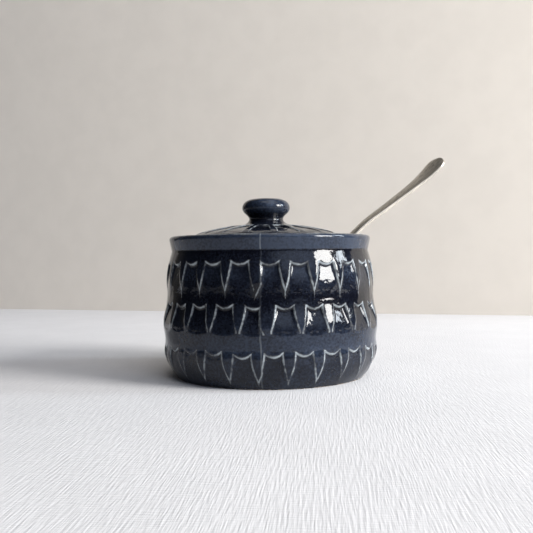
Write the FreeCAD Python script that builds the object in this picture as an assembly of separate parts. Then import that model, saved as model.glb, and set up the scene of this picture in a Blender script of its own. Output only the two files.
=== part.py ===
import FreeCAD, Part
import math
import os

# A covered stoneware sugar bowl with carved windows, its lid and a steel spoon.
# Units are millimetres. Origin: centre of the foot, on the table. +Z is up, and
# the mould seam of the bowl faces -Y. Profiles are (radius, height) pairs.

# ---- bowl ----
FOOT_RADIUS = 46.8
FOOT_RING_WIDTH = 4.6
FOOT_RECESS = 1.2
NECK_RADIUS = 48.9
NECK_HEIGHT = 61.4
RIM_RADIUS = 50.1
RIM_INSIDE_RADIUS = 46.7
RIM_HEIGHT = 68.8
LEDGE_RADIUS = 42.3
LEDGE_HEIGHT = 63.6
LEDGE_ROUND = 0.8
FLOOR_HEIGHT = 6.0
FLOOR_RADIUS = 33.0

BOWL_OUTSIDE = [
    (FOOT_RADIUS, 0.0),
    (49.7, 3.7),
    (51.9, 8.1),
    (53.0, 13.0),
    (52.6, 18.0),
    (53.6, 26.4),
    (51.5, 38.0),
    (51.6, 47.0),
    (50.4, 56.0),
    (NECK_RADIUS, NECK_HEIGHT),
]
BOWL_INSIDE = [
    (LEDGE_RADIUS, LEDGE_HEIGHT - LEDGE_ROUND),
    (43.8, 59.0),
    (46.8, 50.0),
    (48.2, 29.0),
    (46.2, 13.0),
    (41.6, 8.0),
    (FLOOR_RADIUS, FLOOR_HEIGHT),
]

# ---- carved windows: three tiers round the bowl, one ring on the lid ----
# phase: degrees from the seam to the first window; horns, smile and foot: heights of the two
# top corners, of the dip between them and of the bottom corners; foot_sag: how far the bottom
# edge bows down; top and wide: widths at the top and the bottom; seam: where the window beside
# a mould seam is cut off, across from its own middle.
WINDOWS_PER_TIER = 24
TIERS = [
    dict(phase=4.5, horns=56.6, smile=55.2, foot=43.5, foot_sag=1.6, top=7.0, wide=11.6, seam=-3.8),
    dict(phase=-3.2, horns=37.4, smile=35.9, foot=25.2, foot_sag=1.2, top=7.0, wide=11.2, seam=2.6),
    dict(phase=6.0, horns=17.0, smile=15.2, foot=3.4, foot_sag=0.4, top=7.2, wide=11.0, seam=-5.0),
]
WINDOW_DEPTH_TOP = 1.1
WINDOW_DEPTH_FOOT = 0.3
WINDOW_PINCH = 0.5
FLOOR_STEPS = 4
CUTTER_MARGIN = 1.0
CUTTER_CLEAR_RADIUS = 60.0
CUTTER_SWEEP = 20.0
LID_WINDOWS = 16
LID_WINDOW_START = 17.0
LID_WINDOW_END = 34.5
LID_WINDOW_AT_NOTCH = 5
LID_WINDOW_END_AT_NOTCH = 30.5
LID_WINDOW_TOP = 4.2
LID_WINDOW_WIDE = 10.4
LID_WINDOW_SMILE = 1.1
LID_WINDOW_DEPTH_START = 0.8
LID_WINDOW_DEPTH_END = 0.3
LID_CUTTER_SWEEP = 40.0

# ---- lid: it lies a little to the left in the rim, as a loose lid does ----
LID_SHIFT = -1.6
LID_GAP = 0.1
LID_RADIUS = 44.8
LID_EDGE_HEIGHT = 66.9
LID_EDGE_ROUND = 0.9
LID_HOLLOW_RADIUS = 40.2
LID_HOLLOW_TOP = 71.0
LID_DOME = [
    (42.6, LID_EDGE_HEIGHT),
    (38.0, 68.6),
    (34.0, 70.4),
    (28.0, 72.1),
    (19.0, 73.8),
    (12.6, 74.4),
]
KNOB = [
    (12.6, 74.4),
    (9.8, 75.5),
    (8.5, 77.2),
    (9.1, 78.7),
    (10.6, 80.2),
    (11.8, 81.8),
    (12.0, 83.3),
    (10.6, 86.0),
    (6.0, 87.6),
    (0.0, 88.0),
]

# ---- spoon: leans out over the rim through the notch in the lid ----
SPOON_AZIMUTH = 22.3
SPOON_SLOPE = 41.0
SPOON_ROLL = 12.0
SPOON_CROSSING = (47.3, 70.8)
SPOON_BOWL_START = 46.0
SPOON_BOWL_END = 96.9
SPOON_BOWL_WIDTH = 29.0
SPOON_BOWL_DEPTH = 6.6
SPOON_BOWL_WALL = 1.3
SPOON_BOWL_SECTIONS = [
    # share of the bowl's length from its tip, share of its width, share of its depth
    (0.00, 0.22, 0.06),
    (0.05, 0.52, 0.30),
    (0.16, 0.80, 0.68),
    (0.34, 0.98, 0.97),
    (0.54, 0.97, 0.98),
    (0.73, 0.72, 0.66),
    (0.88, 0.38, 0.28),
]
SHANK_SECTIONS = [
    # distance from the rim along the shank, width
    (-45.0, 6.2),
    (-36.0, 4.9),
    (-20.0, 5.0),
    (-2.0, 5.2),
]
SHANK_THICKNESS = 2.2
SHANK_END = 8.0
SPOON_CROWN = 0.25
HANDLE_LINE = [
    (59.9, 80.6),
    (67.0, 85.5),
    (74.1, 90.4),
    (81.4, 95.7),
    (88.8, 101.5),
    (98.3, 111.1),
]
HANDLE_SECTIONS = [
    # share of the handle's length, width, thickness
    (0.00, 5.8, 2.2),
    (0.16, 6.7, 2.2),
    (0.34, 7.4, 2.2),
    (0.50, 8.3, 2.2),
    (0.66, 9.8, 2.1),
    (0.80, 12.0, 2.0),
]
HANDLE_END_WIDTH = 13.0
HANDLE_END_ROUND = 6.0
HANDLE_END_THICKNESS = 1.8
HANDLE_END_ANGLES = (90.0, 60.0, 35.0, 15.0)
NOTCH_WIDTH = 12.0
NOTCH_RADIUS = 35.4


def vector(radius, height):
    return FreeCAD.Vector(radius, 0, height)


def curve_through(profile):
    curve = Part.BSplineCurve()
    curve.interpolate([vector(radius, height) for radius, height in profile])
    return curve


def line(start, end):
    return Part.LineSegment(vector(*start), vector(*end)).toShape()


def arc(start, through, end):
    return Part.Arc(vector(*start), vector(*through), vector(*end)).toShape()


def turned(edges, sweep=360.0):
    """A solid of revolution about Z. A part turn is centred on -Y, where the seam is."""
    face = Part.Face(Part.Wire(Part.__sortEdges__(edges)))
    solid = face.revolve(FreeCAD.Vector(0, 0, 0), FreeCAD.Vector(0, 0, 1), sweep)
    if sweep < 360.0:
        solid.rotate(FreeCAD.Vector(0, 0, 0), FreeCAD.Vector(0, 0, 1), -90.0 - sweep / 2)
    return solid


def height_on(curve, radius):
    upright = Part.LineSegment(vector(radius, 0), vector(radius, RIM_HEIGHT * 2))
    return curve.intersectCC(upright)[0].Z


def radius_on(curve, height):
    level = Part.LineSegment(vector(0, height), vector(RIM_RADIUS * 2, height))
    return curve.intersectCC(level)[0].X


def spun_copies(shape, count, phase):
    for index in range(count):
        copy = shape(index)
        turn = phase + index * 360.0 / count
        copy.rotate(FreeCAD.Vector(0, 0, 0), FreeCAD.Vector(0, 0, 1), turn)
        yield copy


def bowl_blank():
    lip_width = RIM_RADIUS - RIM_INSIDE_RADIUS
    lip_start = RIM_HEIGHT - lip_width / 2
    lip_top = ((RIM_RADIUS + RIM_INSIDE_RADIUS) / 2, RIM_HEIGHT)
    ring_inside = FOOT_RADIUS - FOOT_RING_WIDTH
    ledge_corner = (LEDGE_RADIUS + LEDGE_ROUND, LEDGE_HEIGHT)
    ledge_middle = (
        LEDGE_RADIUS + LEDGE_ROUND * (1 - math.sqrt(0.5)),
        LEDGE_HEIGHT - LEDGE_ROUND * (1 - math.sqrt(0.5)),
    )
    return turned([
        curve_through(BOWL_OUTSIDE).toShape(),
        line(BOWL_OUTSIDE[-1], (RIM_RADIUS, lip_start)),
        arc((RIM_RADIUS, lip_start), lip_top, (RIM_INSIDE_RADIUS, lip_start)),
        line((RIM_INSIDE_RADIUS, lip_start), (RIM_INSIDE_RADIUS, LEDGE_HEIGHT)),
        line((RIM_INSIDE_RADIUS, LEDGE_HEIGHT), ledge_corner),
        arc(ledge_corner, ledge_middle, BOWL_INSIDE[0]),
        curve_through(BOWL_INSIDE).toShape(),
        line(BOWL_INSIDE[-1], (0, FLOOR_HEIGHT)),
        line((0, FLOOR_HEIGHT), (0, FOOT_RECESS)),
        line((0, FOOT_RECESS), (ring_inside - FOOT_RECESS, FOOT_RECESS)),
        line((ring_inside - FOOT_RECESS, FOOT_RECESS), (ring_inside, 0)),
        line((ring_inside, 0), (FOOT_RADIUS, 0)),
    ])


def window_outline(tier):
    """The jar-shaped outline of one window as it is seen from outside, in X and Z."""
    half_top = tier["top"] / 2
    half_wide = tier["wide"] / 2
    middle = (tier["horns"] + tier["foot"]) / 2
    half_middle = (half_top + half_wide) / 2 - WINDOW_PINCH
    lowest = tier["foot"] - tier["foot_sag"]
    edges = [
        arc((-half_top, tier["horns"]), (0, tier["smile"]), (half_top, tier["horns"])),
        arc((half_top, tier["horns"]), (half_middle, middle), (half_wide, tier["foot"])),
        arc((half_wide, tier["foot"]), (0, lowest), (-half_wide, tier["foot"])),
        arc((-half_wide, tier["foot"]), (-half_middle, middle), (-half_top, tier["horns"])),
    ]
    return Part.Face(Part.Wire(edges))


def window_floor(tier, outside):
    """The ring that a window is cut from: its inner face is the window's sloping floor."""
    low = tier["foot"] - tier["foot_sag"] - CUTTER_MARGIN
    high = tier["horns"] + CUTTER_MARGIN
    floor = []
    for step in range(FLOOR_STEPS + 1):
        share = step / FLOOR_STEPS
        height = low + (high - low) * share
        depth = WINDOW_DEPTH_FOOT + (WINDOW_DEPTH_TOP - WINDOW_DEPTH_FOOT) * share
        floor.append((radius_on(outside, height) - depth, height))
    return turned([
        curve_through(floor).toShape(),
        line(floor[-1], (CUTTER_CLEAR_RADIUS, high)),
        line((CUTTER_CLEAR_RADIUS, high), (CUTTER_CLEAR_RADIUS, low)),
        line((CUTTER_CLEAR_RADIUS, low), floor[0]),
    ], sweep=CUTTER_SWEEP)


def tier_windows(tier, outside):
    """All windows of a tier; the two at the mould seams stop in a straight edge there."""
    prism = window_outline(tier).extrude(FreeCAD.Vector(0, -2 * RIM_RADIUS, 0))
    whole = prism.common(window_floor(tier, outside))
    beyond_seam = Part.makeBox(RIM_RADIUS, 2 * RIM_RADIUS, RIM_HEIGHT)
    left_end = tier["seam"] if tier["seam"] > 0 else tier["seam"] - RIM_RADIUS
    beyond_seam.translate(FreeCAD.Vector(left_end, -2 * RIM_RADIUS, 0))
    at_seam = whole.cut(beyond_seam)
    seams = (0, WINDOWS_PER_TIER // 2)

    def shape(index):
        return at_seam.copy() if index in seams else whole.copy()

    return list(spun_copies(shape, WINDOWS_PER_TIER, tier["phase"]))


def bowl():
    outside = curve_through(BOWL_OUTSIDE)
    solid = bowl_blank()
    for tier in TIERS:
        solid = solid.cut(Part.makeCompound(tier_windows(tier, outside)))
    return solid


def lid_blank(dome):
    hollow_edge = LEDGE_HEIGHT + LID_GAP
    sag = LID_HOLLOW_TOP - hollow_edge
    hollow_middle = (LID_HOLLOW_RADIUS / 2, LID_HOLLOW_TOP - sag / 4)
    edge_round_start = LID_EDGE_HEIGHT - LID_EDGE_ROUND
    corner = LID_RADIUS - LID_EDGE_ROUND * (1 - math.sqrt(0.5))
    corner_height = LID_EDGE_HEIGHT - LID_EDGE_ROUND * (1 - math.sqrt(0.5))
    return turned([
        arc((0, LID_HOLLOW_TOP), hollow_middle, (LID_HOLLOW_RADIUS, hollow_edge)),
        line((LID_HOLLOW_RADIUS, hollow_edge), (LID_RADIUS, hollow_edge)),
        line((LID_RADIUS, hollow_edge), (LID_RADIUS, edge_round_start)),
        arc(
            (LID_RADIUS, edge_round_start),
            (corner, corner_height),
            (LID_RADIUS - LID_EDGE_ROUND, LID_EDGE_HEIGHT),
        ),
        line((LID_RADIUS - LID_EDGE_ROUND, LID_EDGE_HEIGHT), LID_DOME[0]),
        dome.toShape(),
        curve_through(KNOB).toShape(),
        line((0, KNOB[-1][1]), (0, LID_HOLLOW_TOP)),
    ])


def lid_window(dome, end):
    half_top = LID_WINDOW_TOP / 2
    half_wide = LID_WINDOW_WIDE / 2
    middle_start = LID_WINDOW_START + LID_WINDOW_SMILE
    middle_end = end + LID_WINDOW_SMILE

    def flat(across, along):
        return FreeCAD.Vector(across, -along, 0)

    near_left = flat(-half_top, LID_WINDOW_START)
    near_right = flat(half_top, LID_WINDOW_START)
    far_left = flat(-half_wide, end)
    far_right = flat(half_wide, end)
    edges = [
        Part.Arc(near_left, flat(0, middle_start), near_right),
        Part.LineSegment(near_right, far_right),
        Part.Arc(far_right, flat(0, middle_end), far_left),
        Part.LineSegment(far_left, near_left),
    ]
    outline = Part.Face(Part.Wire([edge.toShape() for edge in edges]))
    prism = outline.extrude(FreeCAD.Vector(0, 0, 2 * RIM_HEIGHT))
    low = LID_WINDOW_START - CUTTER_MARGIN
    high = middle_end + CUTTER_MARGIN
    floor = []
    for step in range(FLOOR_STEPS + 1):
        share = step / FLOOR_STEPS
        radius = low + (high - low) * share
        depth = LID_WINDOW_DEPTH_START
        depth += (LID_WINDOW_DEPTH_END - LID_WINDOW_DEPTH_START) * share
        floor.append((radius, height_on(dome, radius) - depth))
    clear = KNOB[-1][1]
    ring = turned([
        curve_through(floor).toShape(),
        line(floor[-1], (high, clear)),
        line((high, clear), (low, clear)),
        line((low, clear), floor[0]),
    ], sweep=LID_CUTTER_SWEEP)
    return prism.common(ring)


def lid():
    dome = curve_through(LID_DOME)
    whole = lid_window(dome, LID_WINDOW_END)
    short = lid_window(dome, LID_WINDOW_END_AT_NOTCH)

    def shape(index):
        return short.copy() if index == LID_WINDOW_AT_NOTCH else whole.copy()

    windows = list(spun_copies(shape, LID_WINDOWS, 0.0))
    solid = lid_blank(dome).cut(Part.makeCompound(windows))
    solid.translate(FreeCAD.Vector(LID_SHIFT, 0, 0))
    return solid.cut(notch())


def notch():
    """The slot that lets the spoon pass: a round end and two straight sides, open outwards."""
    end = NOTCH_RADIUS + NOTCH_WIDTH / 2
    slot = Part.makeCylinder(NOTCH_WIDTH / 2, RIM_HEIGHT, FreeCAD.Vector(end, 0, LEDGE_HEIGHT))
    slot = slot.fuse(Part.makeBox(
        RIM_RADIUS, NOTCH_WIDTH, RIM_HEIGHT, FreeCAD.Vector(end, -NOTCH_WIDTH / 2, LEDGE_HEIGHT)
    ))
    slot.rotate(FreeCAD.Vector(0, 0, 0), FreeCAD.Vector(0, 0, 1), SPOON_AZIMUTH)
    return slot


def on_shank(distance):
    """A point of the straight shank, in the spoon's upright plane."""
    slope = math.radians(SPOON_SLOPE)
    return (
        SPOON_CROSSING[0] + distance * math.cos(slope),
        SPOON_CROSSING[1] + distance * math.sin(slope),
    )


def bowl_stations():
    length = SPOON_BOWL_END - SPOON_BOWL_START
    for share, width, depth in SPOON_BOWL_SECTIONS:
        place = on_shank(-SPOON_BOWL_END + share * length)
        yield place, SPOON_SLOPE, SPOON_BOWL_WIDTH * width, SPOON_BOWL_WALL, SPOON_BOWL_DEPTH * depth


def handle_stations():
    start = on_shank(SHANK_END)
    slope = math.radians(SPOON_SLOPE)
    curve = Part.BSplineCurve()
    curve.interpolate(
        [vector(*place) for place in [start] + HANDLE_LINE],
        InitialTangent=vector(math.cos(slope), math.sin(slope)),
        FinalTangent=vector(*HANDLE_LINE[-1]) - vector(*HANDLE_LINE[-2]),
    )
    length = curve.length()
    sections = [(share * length, width, thickness) for share, width, thickness in HANDLE_SECTIONS]
    for angle in HANDLE_END_ANGLES:
        turn = math.radians(angle)
        distance = length - HANDLE_END_ROUND * (1 - math.cos(turn))
        sections.append((distance, HANDLE_END_WIDTH * math.sin(turn), HANDLE_END_THICKNESS))
    for distance, width, thickness in sections:
        parameter = curve.parameterAtDistance(distance)
        point = curve.value(parameter)
        tangent = curve.tangent(parameter)[0]
        yield (point.x, point.z), math.degrees(math.atan2(tangent.z, tangent.x)), width, thickness, 0.0


def spoon_stations():
    """(place in the spoon's upright plane, slope, width, thickness, dish depth) of each section."""
    shank = [
        (on_shank(distance), SPOON_SLOPE, width, SHANK_THICKNESS, 0.0)
        for distance, width in SHANK_SECTIONS
    ]
    return list(bowl_stations()) + shank + list(handle_stations())


def spoon_section(place, slope, width, thickness, dish):
    """One closed section: crown and underside as arcs, joined by two short upright edges."""
    azimuth = math.radians(SPOON_AZIMUTH)
    slope = math.radians(slope)
    roll = math.radians(SPOON_ROLL)
    outward = FreeCAD.Vector(math.cos(azimuth), math.sin(azimuth), 0)
    sideways = FreeCAD.Vector(math.sin(azimuth), -math.cos(azimuth), 0)
    up = FreeCAD.Vector(0, 0, 1)
    face = outward * -math.sin(slope) + up * math.cos(slope)
    across = sideways * math.cos(roll) - face * math.sin(roll)
    face = face * math.cos(roll) + sideways * math.sin(roll)
    centre = outward * place[0] + up * place[1]
    crown = SPOON_CROWN if dish == 0 else 0.0
    half_edge = thickness / 2 - crown

    def at(side, height):
        return centre + across * side + face * height

    half = width / 2
    left_top = at(-half, half_edge)
    right_top = at(half, half_edge)
    left_low = at(-half, -half_edge)
    right_low = at(half, -half_edge)
    top_middle = at(0, thickness / 2 - dish)
    low_middle = at(0, -thickness / 2 - dish)
    return Part.Wire([
        Part.Arc(left_top, top_middle, right_top).toShape(),
        Part.LineSegment(right_top, right_low).toShape(),
        Part.Arc(right_low, low_middle, left_low).toShape(),
        Part.LineSegment(left_low, left_top).toShape(),
    ])


def spoon():
    sections = [spoon_section(*station) for station in spoon_stations()]
    return Part.makeLoft(sections, True, False, False, 3)


def main():
    os.makedirs("parts", exist_ok=True)
    for name, make in [("bowl", bowl), ("lid", lid), ("spoon", spoon)]:
        solid = make()
        solid.exportStep(f"parts/{name}.step")
        print(name, solid.isValid(), len(solid.Solids), round(solid.Volume), solid.BoundBox)


if __name__ == "__main__":
    main()
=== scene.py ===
import math
import random

import bmesh
import bpy
import numpy as np
from mathutils import Matrix, Vector


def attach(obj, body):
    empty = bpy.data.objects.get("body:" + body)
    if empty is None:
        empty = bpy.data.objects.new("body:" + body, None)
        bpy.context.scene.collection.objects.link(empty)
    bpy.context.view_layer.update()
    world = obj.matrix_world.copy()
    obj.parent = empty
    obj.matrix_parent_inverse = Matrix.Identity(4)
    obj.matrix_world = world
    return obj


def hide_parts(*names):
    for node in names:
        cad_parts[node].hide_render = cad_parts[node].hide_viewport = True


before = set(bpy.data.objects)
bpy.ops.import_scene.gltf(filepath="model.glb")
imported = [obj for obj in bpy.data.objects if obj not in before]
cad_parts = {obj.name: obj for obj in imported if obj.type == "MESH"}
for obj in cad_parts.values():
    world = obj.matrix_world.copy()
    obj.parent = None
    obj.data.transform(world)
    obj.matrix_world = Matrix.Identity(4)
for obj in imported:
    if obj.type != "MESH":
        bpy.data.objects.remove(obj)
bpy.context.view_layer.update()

bl_info = {
    "name": "Carved Sugar Bowl",
    "version": (1, 0, 0),
    "blender": (4, 5, 0),
    "location": "3D View > Sidebar > Sugar Bowl",
    "description": "Builds a glazed sugar bowl with its lid, its steel spoon and a small studio",
    "category": "Add Mesh",
}

# Lengths are millimetres here and are scaled to metres when a mesh is made. Azimuths are degrees
# from the mould seam at -Y, round towards +X. Profiles are (radius, height) pairs.
MM = 0.001
SEED = 7
LINE_POINTS = 900
TINY = 1e-6

# ---- bowl ----
FOOT_RADIUS = 46.8
FOOT_RECESS = 1.2
NECK = (48.9, 61.4)
RIM_OUTSIDE = 50.1
RIM_INSIDE = 46.7
RIM_TOP = 68.8
RIM_SEGMENTS = 9
LEDGE_RADIUS = 42.3
LEDGE_HEIGHT = 63.6
LEDGE_ROUND = 0.8
WALL_OUTSIDE = [
    (FOOT_RADIUS, 0.0), (49.7, 3.7), (51.9, 8.1), (53.0, 13.0), (52.6, 18.0),
    (53.6, 26.4), (51.5, 38.0), (51.6, 47.0), (50.4, 56.0), NECK,
]
WALL_INSIDE = [
    (LEDGE_RADIUS, LEDGE_HEIGHT - LEDGE_ROUND), (43.8, 59.0), (46.8, 50.0),
    (48.2, 29.0), (46.2, 13.0), (41.6, 8.0), (33.0, 6.0),
]

RIM_WALL_HEIGHTS = (66.0, 64.6, 63.9)
LEDGE = [(RIM_INSIDE - 0.3, LEDGE_HEIGHT), (44.6, LEDGE_HEIGHT), (43.4, LEDGE_HEIGHT)]
LEDGE_EDGE = [(42.55, 63.4), (42.35, 63.1)]
WALL_INSIDE_ROWS = 14
FLOOR_INSIDE = [(22.0, 5.9), (8.0, 5.9), (0.0, 5.9)]
UNDERSIDE = [
    (0.0, FOOT_RECESS), (20.0, FOOT_RECESS), (39.0, FOOT_RECESS), (40.2, FOOT_RECESS),
    (41.3, 0.25), (42.0, 0.0), (44.6, 0.0),
]
# Largest steps between rows of vertices: on window floors, between tiers, below the rim, and at
# the foot.
FLOOR_ROW = 0.68
BAND_ROW = 0.95
RIM_ROW = 0.9
FOOT_ROW = 0.5

# ---- carved windows ----
WINDOWS = 24
# Columns of vertices from the middle of a window to the middle of the land beside it.
HALF_COLUMNS = 14
# Each tier, from the top one down. phase is the azimuth of its first window and shift the columns
# that it is moved by. Heights: horns at the two upper corners, smile at the dip between them, foot
# at the lower edge, and sag, how far that bows down. Widths: top at the horns and wide at the foot.
# seam is how far from its middle a window is cut off by a mould seam, negative on its left. Depths:
# deep at the top and shallow at the foot. A tier with a flush height has no lower edge: its floor
# runs on down and out until it is flush with the wall there. uneven raises the top edges of single
# windows, and pool is how much thicker the glaze lies in the windows.
TIERS = [
    dict(
        phase=4.5, shift=0, horns=56.6, smile=55.2, foot=43.2, sag=0.0, top=7.9, wide=14.2,
        seam=-3.8, deep=1.35, shallow=0.0, flush=38.5, uneven={}, pool=-0.12,
    ),
    dict(
        phase=-3.2, shift=14, horns=37.4, smile=35.9, foot=25.2, sag=1.2, top=7.6, wide=12.5,
        seam=2.6, deep=1.5, shallow=0.22, flush=None, uneven={}, pool=0.2,
    ),
    dict(
        phase=6.0, shift=0, horns=17.0, smile=15.2, foot=4.0, sag=0.0, top=8.0, wide=13.2,
        seam=-5.0, deep=1.0, shallow=0.0, flush=0.6, uneven={23: -0.7, 1: 0.2, 22: 0.3},
        pool=0.12,
    ),
]
# Distance inside the outline of a window, share of the window's full depth there.
WALL_STEPS = [(-0.5, 0.0), (-0.1, 0.08), (0.3, 0.45), (0.85, 0.84), (1.5, 1.0)]
# A floor is flatter than the wall it is cut into, fully so where it is FLAT_DEPTH deep. A share of
# LEAST_DEPTH of the depth is always left.
FLATNESS = 0.9
FLAT_DEPTH = 0.9
LEAST_DEPTH = 0.3
# How far above its foot a window cut off by a seam begins to widen, and the sides' inward bow.
SEAM_FLARE = 3.0
PINCH = 0.5
# The least gap between columns on a narrow land, and the columns over which uneven edges fade out.
COLUMN_GAP = 0.02
FADE_COLUMNS = 3.0
# Rows above and below a tier bend with its curved edges over this distance, past a margin.
FOLLOW_MARGIN = 0.6
FOLLOW_ABOVE = 3.6
FOLLOW_BELOW = 2.4
# Stands for the distance from the lower edge in a tier that has none.
NO_EDGE = 2.0
# The most that chance changes a window: half its width, its top edge, its foot, its share of depth.
CHANCE_WIDTH = 0.18
CHANCE_TOP = 0.22
CHANCE_FOOT = 0.25
CHANCE_DEPTH = 0.12
# Heights across which the columns pass from one tier's windows to the next, and to even columns.
LOWER_BLEND = (16.3, 23.2)
UPPER_BLEND = (36.9, 41.0)
RIM_BLEND = (57.0, 60.6)
# How far the glaze breaks over the edges of the windows, with a painted highlight laid along those
# same edges: strength and reach by edge, where the line is strongest, and the depth from which it
# is
# full. The lip of the rim has its own: thinner glaze and a painted highlight along the lip.
WEAR_AND_SHEEN_TOP = 0.95
WEAR_AND_SHEEN_SIDE = 0.75
WEAR_AND_SHEEN_FOOT = 0.12
WEAR_AND_SHEEN_REACH_TOP = 0.56
WEAR_AND_SHEEN_REACH = 0.48
WEAR_AND_SHEEN_INSET = 0.05
WEAR_AND_SHEEN_DEPTH = 0.15
LIP_WEAR_AND_SHEEN = 0.5
LIP_REACH = 0.8
# How thick the glaze lies, by height: thin and bluer on the rim and below, thick under the rim.
# The near-black bands under the rim and above the middle tier are partly thick glaze and partly
# painted shade, where those bands face the dim room.
GLAZE_HEIGHTS = [0.0, 15.0, 17.5, 22.0, 30.0, 41.0, 50.0, 56.5, NECK[1]]
GLAZE_THICKNESS_AND_SHADE = [0.4, 0.45, 0.25, 0.3, 0.55, 1.0, 0.6, 0.75, 1.0]
RIM_GLAZE = 0.1
INSIDE_GLAZE = 0.7
POOL_DEPTH = 0.3

# ---- lid ----
LID_SHIFT = -1.6
LID_RADIUS = 44.8
LID_BOTTOM = 63.7
LID_EDGE_TOP = 66.9
LID_EDGE_ROUND = 0.9
LID_HOLLOW_RADIUS = 40.2
LID_HOLLOW_TOP = 71.0
LID_DOME = [
    (42.6, LID_EDGE_TOP), (38.0, 68.6), (34.0, 70.4), (28.0, 72.1), (19.0, 73.8), (12.6, 74.4),
]
LID_DOME_POINTS = 400
KNOB = [
    (12.6, 74.4), (9.8, 75.5), (8.5, 77.2), (9.1, 78.7), (10.6, 80.2),
    (11.8, 81.8), (12.0, 83.3), (10.6, 86.0), (6.0, 87.6), (0.0, 88.0),
]
KNOB_ROWS = 34
KNOB_GLAZE_HEIGHTS = [63.0, 74.0, 77.0, 79.0, 81.0, 88.0]
KNOB_GLAZE = [0.6, 0.6, 0.9, 0.75, 0.25, 0.2]
LID_EDGE_SEGMENTS = 5
LID_WALL_HEIGHTS = (65.0, 64.0)
LID_UNDER_ROUND = 0.3
LID_UNDER_RADII = (43.4, 42.0, 40.6, 39.6, 37.0, 33.0, 28.0, 22.0, 15.0, 8.0, 0.0)
LID_FLOOR_ROW = 0.95
LID_BAND_ROW = 1.0
LID_WINDOWS = 16
LID_HALF_COLUMNS = 12
LID_WINDOW_START = 17.0
LID_WINDOW_END = 34.5
LID_WINDOW_TOP = 4.2
LID_WINDOW_WIDE = 10.4
LID_WINDOW_SMILE = 1.1
LID_STEPS = [(-0.5, 0.0), (-0.12, 0.05), (0.12, 0.5), (0.4, 0.9), (0.9, 1.0)]
LID_DEPTH_START = 0.8
LID_DEPTH_END = 0.3
LID_CHANCE_DEPTH = 0.15
# Radii across which the columns begin and stop following the windows, and their ends' curve.
LID_FOLLOW = ((13.5, 16.4), (35.3, 38.5))
LID_BOW = ((14.5, 16.9), (35.2, 37.5))
# Lighter lines along the lid's window edges and rounded rim: thinner glaze there and a painted
# highlight.
LID_WEAR_AND_SHEEN = 0.8
LID_WEAR_AND_SHEEN_REACH = 0.34
LID_WEAR_AND_SHEEN_OUTSET = 0.1
LID_RIM_WEAR_AND_SHEEN = 0.35
LID_POOL = 0.3
# The radius inside which the notch moves no vertex.
LID_ANCHOR = 32.2
NOTCH_WINDOW = 5
NOTCH_WINDOW_END = 30.5
NOTCH_WIDTH = 12.0
NOTCH_RADIUS = 35.4
NOTCH_HALF_COLUMNS = 14
NOTCH_POINTS = 40
NOTCH_SIDE_POINTS = 12

# ---- spoon ----
SPOON_AZIMUTH = 22.3
SPOON_SLOPE = 41.0
SPOON_ROLL = 12.0
SPOON_CROSSING = (47.3, 70.8)
SPOON_BOWL_START = 46.0
SPOON_BOWL_END = 96.9
SPOON_BOWL_WIDTH = 29.0
SPOON_BOWL_DEPTH = 6.6
SPOON_BOWL_WALL = 1.3
SPOON_BOWL_SECTIONS = [
    (0.00, 0.22, 0.06), (0.05, 0.52, 0.30), (0.16, 0.80, 0.68), (0.34, 0.98, 0.97),
    (0.54, 0.97, 0.98), (0.73, 0.72, 0.66), (0.88, 0.38, 0.28),
]
SHANK_SECTIONS = [(-45.0, 6.2), (-36.0, 4.9), (-20.0, 5.0), (-2.0, 5.2)]
SHANK_THICKNESS = 2.2
SHANK_END = 8.0
HANDLE_LINE = [(59.9, 80.6), (67.0, 85.5), (74.1, 90.4), (81.4, 95.7), (88.8, 101.5), (98.3, 111.1)]
HANDLE_SECTIONS = [
    (0.00, 5.8, 2.2), (0.16, 6.7, 2.2), (0.34, 7.4, 2.2),
    (0.50, 8.3, 2.2), (0.66, 9.8, 2.1), (0.80, 12.0, 2.0),
]
HANDLE_END_WIDTH = 13.0
HANDLE_END_ROUND = 6.0
HANDLE_END_THICKNESS = 1.8
HANDLE_END_ANGLES = (90.0, 75.0, 60.0, 47.0, 35.0, 24.0, 15.0)
HANDLE_BEYOND = 0.7
SPOON_SIDES = 32
SPOON_STEP = 1.6
SPOON_END_INSET = 0.15
# Powers that shape a section: under one, both fill it out towards a rectangle.
SPOON_SIDE_POWER = 0.75
SPOON_FACE_POWER = 0.42

# ---- finishes: noise scales are per metre, heights and widths are metres ----
NOISE_LOW = 0.3
NOISE_HIGH = 0.7
GLAZE_CLOUD = 70.0
GLAZE_PATCH = 140.0
GLAZE_RIPPLE = 260.0
GLAZE_GRAIN = 900.0
GLAZE_SPECK = 2600.0
GRAIN_HEIGHT = 0.00004
GLAZE_IOR = 1.5
GLAZE_SPECULAR = 0.3
# Brown where the glaze breaks, partly a painted reflection tint beside the edge highlights.
BREAK_AND_REFLECTION_BROWN = (0.020, 0.012, 0.008)
SPECK_COLOR = (0.05, 0.06, 0.065)
CLAY_GRAIN = 1200.0
CLAY_DARK = (0.33, 0.25, 0.18)
CLAY_ROUGHNESS = 0.85
CLAY_EDGE = (0.0001, 0.0003)
CLAY_WANDER = (300.0, 0.0002)
SEAM_SWAY = (160.0, 0.0003)
SEAM_HEIGHT = 0.00008
STEEL_STREAK = 2600.0
STEEL_STREAK_SCALE = (0.03, 1.0, 1.0)
STEEL_STREAK_HEIGHT = 0.00001
STEEL_SMEAR = 90.0
STEEL_SMEAR_SHADE = 0.82
STEEL_METALLIC = 0.7
THREAD_SCALES = ((0.07, 1.0, 1.0), (1.0, 0.07, 1.0))
THREAD_TURN = 0.2
THREAD_HEIGHT = 0.001
STAGE_SHADE = 0.94
STAGE_ROUGHNESS = 0.9
STAGE_SPECULAR = 0.2

# ---- studio: metres and degrees ----
STAGE_TURN = -11.0
STAGE_BACK = 0.377
TABLE_SIZE = (4.0, 3.0)
TABLE_CLOUD = 30.0
TABLE_THREAD = 1450.0
WALL_SIZE = (1.4, 0.48)
WALL_MIDDLE = 0.22
WALL_CLOUD = 40.0
SHEET_SEGMENTS = 8
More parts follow.
